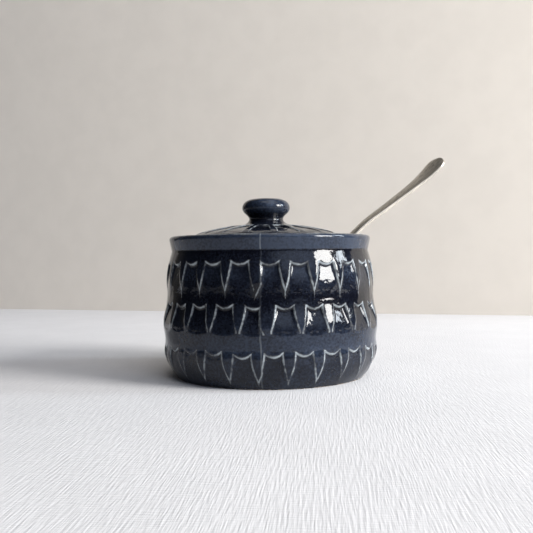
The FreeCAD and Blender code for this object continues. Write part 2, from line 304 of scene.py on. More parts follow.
# Each lamp names the setting that holds its power and the share of that power it takes.
LAMPS = [
    dict(
        name="window_light", azimuth=69.5, elevation=21.0, distance=1.8, size=(0.63, 0.75),
        power="window_power", share=1.0, tint=(1.0, 0.99, 0.97),
    ),
    dict(
        name="side_pane", azimuth=93.0, elevation=24.0, distance=1.8, size=(0.3, 0.68),
        power="window_power", share=0.3, tint=(0.85, 0.93, 1.0),
    ),
    dict(
        name="ceiling_light", azimuth=50.0, elevation=72.0, distance=2.2, size=(2.0, 2.0),
        power="ceiling_power", share=1.0, tint=(1.0, 0.985, 0.96),
    ),
]
LAMP_AIM = 0.04
# The room in reflections: its colours behind the camera and behind the table, the range of
# directions between them, and a soft glow towards one side. The background is what is looked at.
ROOM_NEAR = (0.018, 0.02, 0.026)
ROOM_FAR = (0.27, 0.245, 0.2)
ROOM_FADE = (0.3, 0.95)
GLOW_TOWARDS = (0.49, -0.65, 0.57)
GLOW_FROM = 0.84
GLOW_COLOR = (1.1, 1.3, 1.7)
BACKGROUND_COLOR = (0.66, 0.63, 0.58)
CAMERA_LENS = 47.28
CAMERA_SENSOR = 36.0
CAMERA_CLIP = 0.01
CAMERA_AZIMUTH = 4.7
CAMERA_DISTANCE = 0.353
CAMERA_HEIGHT = 0.0584
CAMERA_TURN = 0.27
CAMERA_TILT = 0.78
CAMERA_ROLL = -0.58


class SugarBowlSettings(bpy.types.PropertyGroup):
    deep_color: bpy.props.FloatVectorProperty(
        name="Thick glaze", description="Colour of the glaze where it has pooled",
        subtype="COLOR", size=3, min=0.0, max=1.0, default=(0.0026, 0.0029, 0.0058),
    )
    glaze_color: bpy.props.FloatVectorProperty(
        name="Glaze", description="Colour of the glaze where it lies evenly",
        subtype="COLOR", size=3, min=0.0, max=1.0, default=(0.011, 0.014, 0.023),
    )
    wash_color: bpy.props.FloatVectorProperty(
        name="Light glaze", description="Colour of the glaze on the rim and the knob",
        subtype="COLOR", size=3, min=0.0, max=1.0, default=(0.027, 0.037, 0.060),
    )
    # Used for thin glaze over edges and for the painted highlights laid along those edges.
    thin_and_sheen_color: bpy.props.FloatVectorProperty(
        name="Thin glaze", description="Colour of the glaze where it breaks over an edge",
        subtype="COLOR", size=3, min=0.0, max=1.0, default=(0.37, 0.41, 0.435),
    )
    clay_color: bpy.props.FloatVectorProperty(
        name="Clay", description="Colour of the bare clay on the foot ring",
        subtype="COLOR", size=3, min=0.0, max=1.0, default=(0.42, 0.33, 0.25),
    )
    steel_color: bpy.props.FloatVectorProperty(
        name="Steel", description="Colour of the spoon's steel",
        subtype="COLOR", size=3, min=0.0, max=1.0, default=(0.68, 0.62, 0.53),
    )
    floor_color: bpy.props.FloatVectorProperty(
        name="Table", description="Colour of the table top",
        subtype="COLOR", size=3, min=0.0, max=1.0, default=(0.68, 0.67, 0.675),
    )
    wall_color: bpy.props.FloatVectorProperty(
        name="Wall", description="Colour of the wall behind the table",
        subtype="COLOR", size=3, min=0.0, max=1.0, default=(0.69, 0.64, 0.575),
    )
    window_power: bpy.props.FloatProperty(
        name="Window light", description="Power of the window-shaped light on the right",
        min=0.0, default=52.0,
    )
    ceiling_power: bpy.props.FloatProperty(
        name="Ceiling light", description="Power of the broad light overhead",
        min=0.0, default=17.5,
    )
    window_depth: bpy.props.FloatProperty(
        name="Window depth", description="Share of its full depth that each carved window reaches",
        subtype="FACTOR", min=0.0, max=1.0, default=1.0,
    )
    ripple_height: bpy.props.FloatProperty(
        name="Glaze ripple", description="Height of the soft ripple in the glaze",
        unit="LENGTH", precision=5, min=0.0, default=0.0003,
    )
    seam_width: bpy.props.FloatProperty(
        name="Mould seam", description="Half the width of the raised seam on two sides of the bowl",
        unit="LENGTH", precision=5, min=0.0, default=0.0006,
    )


def settings():
    return bpy.context.scene.sugar_bowl


# ---------------------------------------------------------------- lines and sections


def bend(places, values, at):
    """Values at other places on the smooth curve (a natural cubic) through the given ones."""
    places = np.asarray(places, float)
    values = np.asarray(values, float)
    gaps = np.diff(places)
    count = len(places)
    system = np.eye(count)
    right = np.zeros(values.shape)
    for i in range(1, count - 1):
        system[i, i - 1:i + 2] = (gaps[i - 1], 2 * (gaps[i - 1] + gaps[i]), gaps[i])
        after = (values[i + 1] - values[i]) / gaps[i]
        before = (values[i] - values[i - 1]) / gaps[i - 1]
        right[i] = 6 * (after - before)
    curvature = np.linalg.solve(system, right)
    at = np.asarray(at, float)
    i = np.clip(np.searchsorted(places, at) - 1, 0, count - 2)
    gap = gaps[i]
    near = (places[i + 1] - at) / gap
    far = 1 - near
    if values.ndim > 1:
        gap = gap[:, None]
        near = near[:, None]
        far = far[:, None]
    swell = ((near**3 - near) * curvature[i] + (far**3 - far) * curvature[i + 1]) * gap**2 / 6
    return near * values[i] + far * values[i + 1] + swell


def smooth_line(points, count):
    """Evenly spread points on the smooth line through the given ones."""
    points = np.asarray(points, float)
    run = np.concatenate([[0.0], np.cumsum(np.hypot(*np.diff(points, axis=0).T))])
    return bend(run, points, np.linspace(0.0, run[-1], count))


def steps_between(low, high, largest):
    """Evenly spread values inside an open range, none further apart than the largest step."""
    count = max(1, math.ceil((high - low) / largest))
    return [low + (high - low) * i / count for i in range(1, count)]


def smooth_share(value, low, high):
    share = np.clip((value - low) / (high - low), 0.0, 1.0)
    return share * share * (3 - 2 * share)


def between(value, begins, stops):
    """One between two ranges, fading to nothing across each of them."""
    return smooth_share(value, *begins) * (1 - smooth_share(value, *stops))


RIM_STRAIGHT_TOP = RIM_TOP - (RIM_OUTSIDE - RIM_INSIDE) / 2
OUTSIDE_LINE = np.vstack([smooth_line(WALL_OUTSIDE, LINE_POINTS), (RIM_OUTSIDE, RIM_STRAIGHT_TOP)])


def outside_radius(height):
    """The bowl's outside radius at a height, windows left out."""
    return np.interp(height, OUTSIDE_LINE[:, 1], OUTSIDE_LINE[:, 0])


def carve_share(inside, steps):
    """How much of a window's depth is reached at a distance inside its outline."""
    return np.interp(inside, [step[0] for step in steps], [step[1] for step in steps])


def window_columns(column, half_columns):
    """The window that a column belongs to, its side of the middle and its count from there."""
    period = 2 * half_columns
    window = (column + half_columns) // period
    across = column - period * window
    return window, np.where(across < 0, -1, 1), np.abs(across)


def column_places(count, half, reach, half_columns, steps):
    """Distance of a column from a window's middle: even on the floor, close on the slope."""
    steps = [step[0] for step in steps]
    floor_columns = half_columns - len(steps) - 1
    place = (half - steps[-1]) * np.minimum(count, floor_columns) / floor_columns
    for number, step in enumerate(reversed(steps[:-1])):
        place = np.where(count == floor_columns + 1 + number, half - step, place)
    place = np.where(count == half_columns - 1, (half - steps[0] + reach) / 2, place)
    return np.where(count == half_columns, reach, place)


def spin_profile(profile, columns, start):
    """A closed shell of revolution. Each vertex keeps its row of the profile in a layer."""
    bm = bmesh.new()
    row_layer = bm.verts.layers.int.new("row")
    turn = math.radians(start)
    made = []
    for row, (radius, height) in enumerate(profile):
        place = Vector((radius * math.sin(turn), -radius * math.cos(turn), height))
        vert = bm.verts.new(place)
        vert[row_layer] = row
        made.append(vert)
    edges = [bm.edges.new(pair) for pair in zip(made, made[1:])]
    bmesh.ops.spin(
        bm, geom=made + edges, cent=(0, 0, 0), axis=(0, 0, 1), dvec=(0, 0, 0),
        angle=math.tau, steps=columns, use_merge=True, use_normal_flip=False, use_duplicate=False,
    )
    bmesh.ops.remove_doubles(bm, verts=bm.verts, dist=0.0005)
    bmesh.ops.recalc_face_normals(bm, faces=bm.faces)
    return bm


def place_object(name, data):
    made = bpy.data.objects.new(name, data)
    bpy.context.scene.collection.objects.link(made)
    return made


def finish_piece(bm, name, columns, start, shape_verts):
    """Turns the shell into a mesh and lets shape_verts move its vertices by row and column."""
    mesh = bpy.data.meshes.new(name)
    bm.to_mesh(mesh)
    bm.free()
    count = len(mesh.vertices)
    co = np.zeros(count * 3)
    mesh.vertices.foreach_get("co", co)
    co = co.reshape(-1, 3)
    rows = np.zeros(count, int)
    mesh.attributes["row"].data.foreach_get("value", rows)
    azimuth = np.degrees(np.arctan2(co[:, 0], -co[:, 1]))
    column = np.rint((azimuth - start) / (360.0 / columns)).astype(int) % columns
    co, attributes = shape_verts(rows, column)
    mesh.vertices.foreach_set("co", (co * MM).ravel())
    mesh.attributes.remove(mesh.attributes["row"])
    for key, values in attributes.items():
        layer = mesh.attributes.new(key, "FLOAT", "POINT")
        layer.data.foreach_set("value", values)
    mesh.polygons.foreach_set("use_smooth", [True] * len(mesh.polygons))
    mesh.update()
    return place_object(name, mesh)


# ---------------------------------------------------------------- bowl


def bowl_rows():
    """The bowl's closed profile: from the foot up the outside, over the rim and down the inside.

    Also gives the numbers of its rows up to the neck and up to the ledge's inner edge.
    """
    above = WALL_STEPS[-1][0]
    rows = [0.0, FOOT_ROW]
    for tier in reversed(TIERS):
        low = tier["foot"] - tier["sag"]
        high = tier["smile"]
        rows += steps_between(rows[-1], low + WALL_STEPS[0][0], BAND_ROW)
        rows += [low + step[0] for step in WALL_STEPS]
        rows += steps_between(low + above, high - above, FLOOR_ROW)
        rows += [high - step[0] for step in reversed(WALL_STEPS)]
    rows += steps_between(rows[-1], NECK[1], BAND_ROW) + [NECK[1]]
    carved = len(rows)
    rows += steps_between(NECK[1], RIM_STRAIGHT_TOP, RIM_ROW)
    profile = [(float(outside_radius(v)), v) for v in rows]
    lip = (RIM_OUTSIDE - RIM_INSIDE) / 2
    middle = (RIM_OUTSIDE + RIM_INSIDE) / 2
    for i in range(RIM_SEGMENTS + 1):
        turn = math.pi * i / RIM_SEGMENTS
        profile.append((middle + lip * math.cos(turn), RIM_STRAIGHT_TOP + lip * math.sin(turn)))
    profile += [(RIM_INSIDE, v) for v in RIM_WALL_HEIGHTS] + LEDGE
    rimmed = len(profile)
    profile += LEDGE_EDGE + [tuple(p) for p in smooth_line(WALL_INSIDE, WALL_INSIDE_ROWS)]
    profile += FLOOR_INSIDE + UNDERSIDE
    return profile + [profile[0]], carved, rimmed


def window_half(tier, height):
    """Half of a window's width at a height: the side bows in a little between its two ends."""
    share = np.clip((height - tier["foot"]) / (tier["horns"] - tier["foot"]), 0.0, 1.0)
    ends = tier["wide"] / 2 * (1 - share) + tier["top"] / 2 * share
    return ends - 4 * share * (1 - share) * PINCH


def edge_lift(tier, chance, index, count, place, rows_v):
    """How far each vertex rises so that rows follow the windows' curved edges, and its share up."""
    low = tier["foot"] - tier["sag"]
    high = tier["smile"]
    inside = np.clip((HALF_COLUMNS - count) / FADE_COLUMNS, 0.0, 1.0)
    uneven = np.array([tier["uneven"].get(number, 0.0) for number in range(WINDOWS)])
    lift_high = (tier["horns"] - high) * np.minimum(place / (tier["top"] / 2), 1.0) ** 2
    lift_high = lift_high + (chance["top"] + uneven)[index] * inside
    lift_low = tier["sag"] * np.minimum(place / (tier["wide"] / 2), 1.0) ** 2
    lift_low = lift_low + chance["foot"][index] * inside
    share = (rows_v - low) / (high - low)
    lift = np.where(share > 0.5, lift_high, lift_low)
    within = (share >= 0) & (share <= 1)
    lift = np.where(within, lift_low + (lift_high - lift_low) * share, lift)
    fade_up = 1 - np.clip((rows_v - high - FOLLOW_MARGIN) / FOLLOW_ABOVE, 0.0, 1.0)
    fade_down = 1 - np.clip((low - FOLLOW_MARGIN - rows_v) / FOLLOW_BELOW, 0.0, 1.0)
    return lift * fade_up * fade_down, share


def carve_tier(tier, chance, rows_v, column):
    """One tier's azimuth, lift, depth, worn edge with its painted highlight, and pooled glaze at
    each vertex of the wall.
    """
    window, side, count = window_columns(column + tier["shift"], HALF_COLUMNS)
    index = window % WINDOWS
    half = window_half(tier, rows_v) + chance["width"][index]
    at_seam = (index % (WINDOWS // 2)) == 0
    clipped = at_seam & (side == np.sign(tier["seam"]))
    cut = abs(tier["seam"]) + np.maximum(tier["foot"] + SEAM_FLARE - rows_v, 0.0) / 2
    half = np.where(clipped, np.minimum(half, cut), half)
    radius = outside_radius(rows_v)
    reach = math.pi * radius / WINDOWS
    place = column_places(count, half, reach, HALF_COLUMNS, WALL_STEPS)
    place = np.minimum(place, reach - COLUMN_GAP * (HALF_COLUMNS - count))
    azimuth = tier["phase"] + 360.0 / WINDOWS * window + np.degrees(side * place / radius)
    lift, share = edge_lift(tier, chance, index, count, place, rows_v)
    low = tier["foot"] - tier["sag"]
    high = tier["smile"]
    from_side = half - place
    from_top = high - rows_v
    from_foot = rows_v - low
    if tier["flush"] is None:
        depth = tier["shallow"] + (tier["deep"] - tier["shallow"]) * np.clip(share, 0.0, 1.0)
    else:
        depth = tier["deep"] * np.clip((rows_v - tier["flush"]) / (high - tier["flush"]), 0.0, 1.0)
        from_foot = np.full(len(rows_v), NO_EDGE)
    flatter = FLATNESS * np.minimum(place, half) ** 2 / (2 * radius)
    flatter = flatter * np.clip(depth / FLAT_DEPTH, 0.0, 1.0)
    depth = np.maximum(depth * chance["depth"][index] - flatter, LEAST_DEPTH * depth)
    carved = np.ones(len(rows_v))
    for inside_by in (from_side, from_top, from_foot):
        carved = carved * carve_share(inside_by, WALL_STEPS)
    # The edge line is partly glaze breaking thin over the edge and partly a painted highlight on
    # it.
    nearest = np.minimum(np.minimum(from_side, from_top), from_foot)
    at_top = from_top <= nearest
    strength = np.where(from_foot <= nearest, WEAR_AND_SHEEN_FOOT, np.where(at_top, WEAR_AND_SHEEN_TOP, WEAR_AND_SHEEN_SIDE))
    strength = strength * np.clip(depth / WEAR_AND_SHEEN_DEPTH, 0.0, 1.0)
    wear_and_sheen_reach = np.where(at_top, WEAR_AND_SHEEN_REACH_TOP, WEAR_AND_SHEEN_REACH)
    edge = np.exp(-((nearest - WEAR_AND_SHEEN_INSET) / wear_and_sheen_reach) ** 2) * strength
    pooled = tier["pool"] * carved * np.clip(depth / POOL_DEPTH, 0.0, 1.0)
    return azimuth, lift, depth * carved, edge, pooled


def shape_bowl(profile, carved_rows, rim_rows, columns, start):
    """Gives the function that carves the windows and lays the glaze on the bowl's shell."""
    dice = random.Random(SEED)

    def throws(spread):
        return np.array([dice.uniform(-spread, spread) for _ in range(WINDOWS)])

    chances = [
        dict(
            width=throws(CHANCE_WIDTH), top=throws(CHANCE_TOP), foot=throws(CHANCE_FOOT),
            depth=1 + throws(CHANCE_DEPTH),
        )
        for _ in TIERS
    ]
    profile = np.array(profile)

    def shape(rows, column):
        nominal = profile[rows]
        on_wall = rows < carved_rows
        v = nominal[:, 1]
        upper = smooth_share(v, *UPPER_BLEND)
        lower = smooth_share(v, *LOWER_BLEND)
        rim = smooth_share(v, *RIM_BLEND)
        weights = [upper * (1 - rim), lower * (1 - upper), 1 - lower]
        even = start + 360.0 / columns * column
        turned = even * rim
        height = v.copy()
        depth = np.zeros(len(v))
        edge = np.zeros(len(v))
        pool = np.zeros(len(v))
        for tier, chance, weight in zip(TIERS, chances, weights):
            azimuth, lift, carved, tier_edge, pooled = carve_tier(tier, chance, v, column)
            turned = turned + weight * azimuth
            height = height + lift
            depth = depth + carved
            pool = pool + pooled
            edge = np.maximum(edge, tier_edge)
        height = np.where(on_wall, np.maximum(height, 0.0), v)
        depth = depth * settings().window_depth
        radius = np.where(on_wall, outside_radius(height) - depth, nominal[:, 0])
        above = np.where(rows < rim_rows, RIM_GLAZE, INSIDE_GLAZE)
        # Thickness by height: partly real, partly painted shade on the bands under the rim and
        # above the middle tier.
        thick = np.interp(height, GLAZE_HEIGHTS, GLAZE_THICKNESS_AND_SHADE) + pool
        thick = np.where(on_wall, thick, above)
        # A lighter line along the lip: thinner glaze there and a painted highlight on the rounded
        # lip.
        lip = np.exp(-((v - RIM_TOP) / LIP_REACH) ** 2) * LIP_WEAR_AND_SHEEN
        edge = np.where(on_wall, edge, lip)
        turn = np.radians(np.where(on_wall, turned, even))
        made = np.stack([radius * np.sin(turn), -radius * np.cos(turn), height], axis=1)
        return made, {"edge": edge, "thick": np.clip(thick, 0.0, 1.0)}

    return shape


# ---------------------------------------------------------------- lid


LID_TOP_LINE = np.vstack([smooth_line(LID_DOME, LID_DOME_POINTS)[::-1], (LID_RADIUS, LID_EDGE_TOP)])


def lid_top(radius):
    """Height of the lid's upper surface outside the knob, windows left out."""
    return np.interp(radius, LID_TOP_LINE[:, 0], LID_TOP_LINE[:, 1])


def lid_under(radius):
    """Height of the lid's underside: a flat flange round a shallow hollow."""
    share = np.clip(radius / LID_HOLLOW_RADIUS, 0.0, 1.0)
    return LID_HOLLOW_TOP - (LID_HOLLOW_TOP - LID_BOTTOM) * share**2


def lid_rows():
    """The lid's profile from the knob's top out over the dome, round the edge and back below.

    Also gives the numbers of its rows up to the dome and up to the rounded edge.
    """
    knob = [tuple(p) for p in smooth_line(KNOB[::-1], KNOB_ROWS)]
    knob[0] = KNOB[-1]
    outset = -LID_STEPS[0][0]
    inset = LID_STEPS[-1][0]
    start = LID_WINDOW_START
    end = LID_WINDOW_END
    radii = steps_between(KNOB[0][0], start - outset, LID_BAND_ROW)
    radii += [start + step[0] for step in LID_STEPS]
    radii += steps_between(start + inset, end - inset, LID_FLOOR_ROW)
    radii += [end - step[0] for step in reversed(LID_STEPS)]
    radii += steps_between(end + outset, LID_RADIUS - LID_EDGE_ROUND, LID_BAND_ROW)
    top = [(r, float(lid_top(r))) for r in radii]
    edge = []
    for i in range(LID_EDGE_SEGMENTS + 1):
        turn = math.pi / 2 * i / LID_EDGE_SEGMENTS
        edge.append((
            LID_RADIUS - LID_EDGE_ROUND * (1 - math.sin(turn)),
            LID_EDGE_TOP - LID_EDGE_ROUND * (1 - math.cos(turn)),
        ))
    wall = [(LID_RADIUS, v) for v in LID_WALL_HEIGHTS]
    under = [(LID_RADIUS - LID_UNDER_ROUND, LID_BOTTOM)]
    under += [(r, float(lid_under(r))) for r in LID_UNDER_RADII]
    return knob + top + edge + wall + under, len(knob), len(knob) + len(top)


def notch_outline(columns, start):
    """Where each column near the notch meets the lid's outline, measured from the lid's axis."""
    towards = math.radians(SPOON_AZIMUTH)
    out = np.array([math.cos(towards), math.sin(towards)])
    side = np.array([-out[1], out[0]])
    half = NOTCH_WIDTH / 2
    centre = out * (NOTCH_RADIUS + half) - np.array([LID_SHIFT, 0.0])
    middle = round((90.0 + SPOON_AZIMUTH - start) / (360.0 / columns))
    ends = []
    for sign in (-1, 1):
        base = centre + side * half * sign
        along = -base @ out + math.sqrt((base @ out) ** 2 - base @ base + LID_RADIUS**2)
        ends.append(base + out * along)
    step = 360.0 / columns
    first = math.radians(start + step * (middle - NOTCH_HALF_COLUMNS) - 90.0)
    last = math.radians(start + step * (middle + NOTCH_HALF_COLUMNS) - 90.0)
    corner = [math.atan2(end[1], end[0]) for end in ends]

    def along_rim(turns):
        return [LID_RADIUS * np.array([math.cos(turn), math.sin(turn)]) for turn in turns]

    path = along_rim(np.linspace(first, corner[0], NOTCH_SIDE_POINTS))
    for turn in np.linspace(-math.pi / 2, math.pi / 2, NOTCH_POINTS):
        path.append(centre - out * half * math.cos(turn) + side * half * math.sin(turn))
    path += along_rim(np.linspace(corner[1], last, NOTCH_SIDE_POINTS))
    path = np.array(path)
    run = np.concatenate([[0.0], np.cumsum(np.hypot(*np.diff(path, axis=0).T))])
    at = np.linspace(0.0, run[-1], 2 * NOTCH_HALF_COLUMNS + 1)
    outline = np.stack([np.interp(at, run, path[:, 0]), np.interp(at, run, path[:, 1])], axis=1)
    return middle - NOTCH_HALF_COLUMNS, outline


def shape_lid(profile, knob_rows, dome_rows, columns, start):
    """Gives the function that carves the windows and the spoon's notch into the lid's shell."""
    profile = np.array(profile)
    dice = random.Random(SEED + 1)
    depths = np.array([
        1 + dice.uniform(-LID_CHANCE_DEPTH, LID_CHANCE_DEPTH) for _ in range(LID_WINDOWS)
    ])
    first, outline = notch_outline(columns, start)
    edge_rows = dome_rows + LID_EDGE_SEGMENTS + 1
    wall_rows = edge_rows + len(LID_WALL_HEIGHTS)

    def grid_azimuth(radius, column):
        """Azimuth of a column at a radius: it follows the sides of the windows."""
        window, side, count = window_columns(column, LID_HALF_COLUMNS)
        share = np.clip((radius - LID_WINDOW_START) / (LID_WINDOW_END - LID_WINDOW_START), 0, 1)
        half = (LID_WINDOW_TOP * (1 - share) + LID_WINDOW_WIDE * share) / 2
        reach = math.pi * radius / LID_WINDOWS
        place = column_places(count, half, reach, LID_HALF_COLUMNS, LID_STEPS)
        place = np.minimum(place, reach)
        followed = start + 360.0 / LID_WINDOWS * window
        followed = followed + np.degrees(side * place / np.maximum(radius, 1))
        even = start + 360.0 / columns * column
        weight = between(radius, *LID_FOLLOW)
        return even * (1 - weight) + followed * weight, half - place, window % LID_WINDOWS, half

    def bend_to_notch(radius, column, anchor_azimuth):
        """Places in plan that make the edge follow the notch, and which vertices take them."""
        target = outline[np.clip(column - first, 0, len(outline) - 1)]
        turn = np.radians(anchor_azimuth)
        anchor = LID_ANCHOR * np.stack([np.sin(turn), -np.cos(turn)], axis=1)
        inward = anchor - target
        inward = inward / np.maximum(np.hypot(inward[:, 0], inward[:, 1]), TINY)[:, None]
        inset = LID_RADIUS - radius
        from_edge = target + inward * inset[:, None]
        innermost = target + inward * LID_EDGE_ROUND
        share = (radius - LID_ANCHOR) / (LID_RADIUS - LID_EDGE_ROUND - LID_ANCHOR)
        spread = anchor + (innermost - anchor) * np.clip(share, 0, 1)[:, None]
        moved = np.where((inset <= LID_EDGE_ROUND + TINY)[:, None], from_edge, spread)
        beside = (column >= first) & (column < first + len(outline)) & (radius > LID_ANCHOR)
        return moved, beside

    def shape(rows, column):
        nominal = profile[rows]
        radius = nominal[:, 0]
        on_dome = (rows >= knob_rows) & (rows < dome_rows)
        followed, from_side, window, half = grid_azimuth(radius, column)
        even = start + 360.0 / columns * column
        end = np.where(window == NOTCH_WINDOW, NOTCH_WINDOW_END, LID_WINDOW_END)
        from_start = radius - LID_WINDOW_START
        from_end = end - radius
        share = np.clip(from_start / (end - LID_WINDOW_START), 0, 1)
        depth = LID_DEPTH_START + (LID_DEPTH_END - LID_DEPTH_START) * share
        carved = carve_share(from_side, LID_STEPS) * carve_share(from_start, LID_STEPS)
        carved = carved * carve_share(from_end, LID_STEPS) * depth * depths[window]
        carved = np.where(on_dome, carved, 0.0)
        nearest = np.minimum(np.minimum(from_side, from_start), from_end)
        # Edge line round each lid window: thin glaze plus a painted highlight.
        edge = np.exp(-((nearest + LID_WEAR_AND_SHEEN_OUTSET) / LID_WEAR_AND_SHEEN_REACH) ** 2) * LID_WEAR_AND_SHEEN
        edge = np.where(on_dome, edge, 0.0)
        bow = LID_WINDOW_SMILE * (1 - np.minimum(np.abs(half - from_side) / half, 1.0) ** 2)
        bow = bow * between(radius, *LID_BOW)
        plan_radius = np.where(on_dome, radius + bow, radius)
        turn = np.radians(np.where(on_dome, followed, even))
        plan = np.stack([plan_radius * np.sin(turn), -plan_radius * np.cos(turn)], axis=1)
        at_anchor = grid_azimuth(np.full(len(radius), LID_ANCHOR), column)[0]
        moved, beside = bend_to_notch(radius, column, np.where(on_dome, at_anchor, even))
        in_notch = beside & (rows >= knob_rows)
        plan = np.where(in_notch[:, None], moved, plan)
        reached = np.hypot(plan[:, 0], plan[:, 1])
        surface = lid_top(reached)
        cut = carved * settings().window_depth
        height = np.where(on_dome, surface - cut, nominal[:, 1])
        rounded = (rows >= dome_rows) & (rows < edge_rows)
        drop = LID_EDGE_TOP - nominal[:, 1]
        height = np.where(rounded & in_notch, surface - drop, height)
        wall = (rows >= edge_rows) & (rows < wall_rows)
        wall_share = (nominal[:, 1] - LID_BOTTOM) / (LID_EDGE_TOP - LID_EDGE_ROUND - LID_BOTTOM)
        raised = LID_BOTTOM + (surface - LID_EDGE_ROUND - LID_BOTTOM) * wall_share
        height = np.where(wall & in_notch, raised, height)
        height = np.where(rows >= wall_rows, lid_under(reached), height)
        pooled = LID_POOL * carved / LID_DEPTH_START
        thick = np.interp(nominal[:, 1], KNOB_GLAZE_HEIGHTS, KNOB_GLAZE) + pooled
        # The lid's rounded rim gets the same line: thin glaze plus a painted highlight.
        edge = np.where(rounded, LID_RIM_WEAR_AND_SHEEN, edge)
        made = np.stack([plan[:, 0] + LID_SHIFT, plan[:, 1], height], axis=1)
        return made, {"edge": edge, "thick": np.clip(thick, 0.0, 1.0)}

    return shape


# ---------------------------------------------------------------- spoon


def on_shank(distance):
    """A place in the spoon's upright plane, by its distance along the straight shank."""
    slope = math.radians(SPOON_SLOPE)
    return (
        SPOON_CROSSING[0] + distance * math.cos(slope),
        SPOON_CROSSING[1] + distance * math.sin(slope),
    )


def spoon_stations():
    """Rows of place (in the spoon's upright plane), width, thickness and dish along the spoon."""
    stations = []
    length = SPOON_BOWL_END - SPOON_BOWL_START
    for share, width, dish in SPOON_BOWL_SECTIONS:
        place = on_shank(share * length - SPOON_BOWL_END)
        stations.append(
            (*place, SPOON_BOWL_WIDTH * width, SPOON_BOWL_WALL, SPOON_BOWL_DEPTH * dish)
        )
    for distance, width in SHANK_SECTIONS:
        stations.append((*on_shank(distance), width, SHANK_THICKNESS, 0.0))
    last = Vector(HANDLE_LINE[-1])
    beyond = tuple(last + (last - Vector(HANDLE_LINE[-2])) * HANDLE_BEYOND)
    start = [on_shank(0.0), on_shank(SHANK_END)]
    line = smooth_line(start + HANDLE_LINE + [beyond], LINE_POINTS)
    line = line[line[:, 0] <= last.x]
    run = np.concatenate([[0.0], np.cumsum(np.hypot(*np.diff(line, axis=0).T))])
    handle = run[-1] - SHANK_END
    sections = [(share * handle, width, thickness) for share, width, thickness in HANDLE_SECTIONS]
    for angle in HANDLE_END_ANGLES:
        turn = math.radians(angle)
        distance = handle - HANDLE_END_ROUND * (1 - math.cos(turn))
        sections.append((distance, HANDLE_END_WIDTH * math.sin(turn), HANDLE_END_THICKNESS))
    for distance, width, thickness in sections:
        x = np.interp(distance + SHANK_END, run, line[:, 0])
        z = np.interp(distance + SHANK_END, run, line[:, 1])
        stations.append((x, z, width, thickness, 0.0))
    return np.array(stations)


def spoon_sections():
    """Closely spaced sections: place, slope, width, thickness and dish."""
    stations = spoon_stations()
    run = np.concatenate([[0.0], np.cumsum(np.hypot(*np.diff(stations[:, :2], axis=0).T))])
    at = list(run)
    for low, high in zip(run, run[1:]):
        at += steps_between(low, high, SPOON_STEP)
    at = np.array(sorted(at))
    fine = bend(run, stations, at)
    tangent = np.gradient(fine[:, :2], at, axis=0)
    slope = np.arctan2(tangent[:, 1], tangent[:, 0])
    on_handle = at > run[-len(HANDLE_SECTIONS) - len(HANDLE_END_ANGLES)]
    for number in (2, 3):
        fine[:, number] = np.where(
            on_handle, np.interp(at, run, stations[:, number]), fine[:, number],
        )
    straight = at < run[len(SPOON_BOWL_SECTIONS) + len(SHANK_SECTIONS) - 1]
    slope = np.where(straight, math.radians(SPOON_SLOPE), slope)
    return fine, slope


def section_ring(width, thickness, dish):
    """Points round one section: nearly flat faces, well rounded edges, the dish bowed down."""
    ring = []
    half = width / 2
    for i in range(SPOON_SIDES):
        turn = math.tau * i / SPOON_SIDES
        across, up = math.cos(turn), math.sin(turn)
        side = math.copysign(abs(across) ** SPOON_SIDE_POWER, across) * half
        rise = math.copysign(abs(up) ** SPOON_FACE_POWER, up) * thickness / 2
        bow = dish * (1 - (side / half) ** 2)
        ring.append((side, rise - bow))
    return ring


def spoon_mesh():
    """A ring extruded from section to section, from the tip of the bowl to the handle's end."""
    azimuth = math.radians(SPOON_AZIMUTH)
    roll = math.radians(SPOON_ROLL)
    outward = Vector((math.cos(azimuth), math.sin(azimuth), 0))
    sideways = Vector((math.sin(azimuth), -math.cos(azimuth), 0))
    up = Vector((0, 0, 1))
    fine, slopes = spoon_sections()
    bm = bmesh.new()
    ring = bmesh.ops.create_circle(bm, segments=SPOON_SIDES, radius=1.0)["verts"]
    edges = list(bm.edges)
    order = {vert: i for i, vert in enumerate(ring)}
    for number, (row, slope) in enumerate(zip(fine, slopes)):
        if number:
            made = bmesh.ops.extrude_edge_only(bm, edges=edges)["geom"]
            fresh = [item for item in made if isinstance(item, bmesh.types.BMVert)]
            edges = [
                item for item in made
                if isinstance(item, bmesh.types.BMEdge)
                and all(vert in fresh for vert in item.verts)
            ]
            previous = order
            order = {}
            for vert in fresh:
                for edge in vert.link_edges:
                    other = edge.other_vert(vert)
                    if other in previous:
                        order[vert] = previous[other]
        face = outward * -math.sin(slope) + up * math.cos(slope)
        across = sideways * math.cos(roll) - face * math.sin(roll)
        face = face * math.cos(roll) + sideways * math.sin(roll)
        centre = outward * float(row[0]) + up * float(row[1])
        points = section_ring(*(float(value) for value in row[2:]))
        for vert, i in order.items():
            vert.co = (centre + across * points[i][0] + face * points[i][1]) * MM
    open_edges = [edge for edge in bm.edges if edge.is_boundary]
    bmesh.ops.holes_fill(bm, edges=open_edges, sides=SPOON_SIDES)
    ends = [face for face in bm.faces if len(face.verts) > 4]
    bmesh.ops.inset_region(bm, faces=ends, thickness=SPOON_END_INSET * MM, use_even_offset=True)
    bmesh.ops.recalc_face_normals(bm, faces=bm.faces)
    return bm


# ---------------------------------------------------------------- finishes


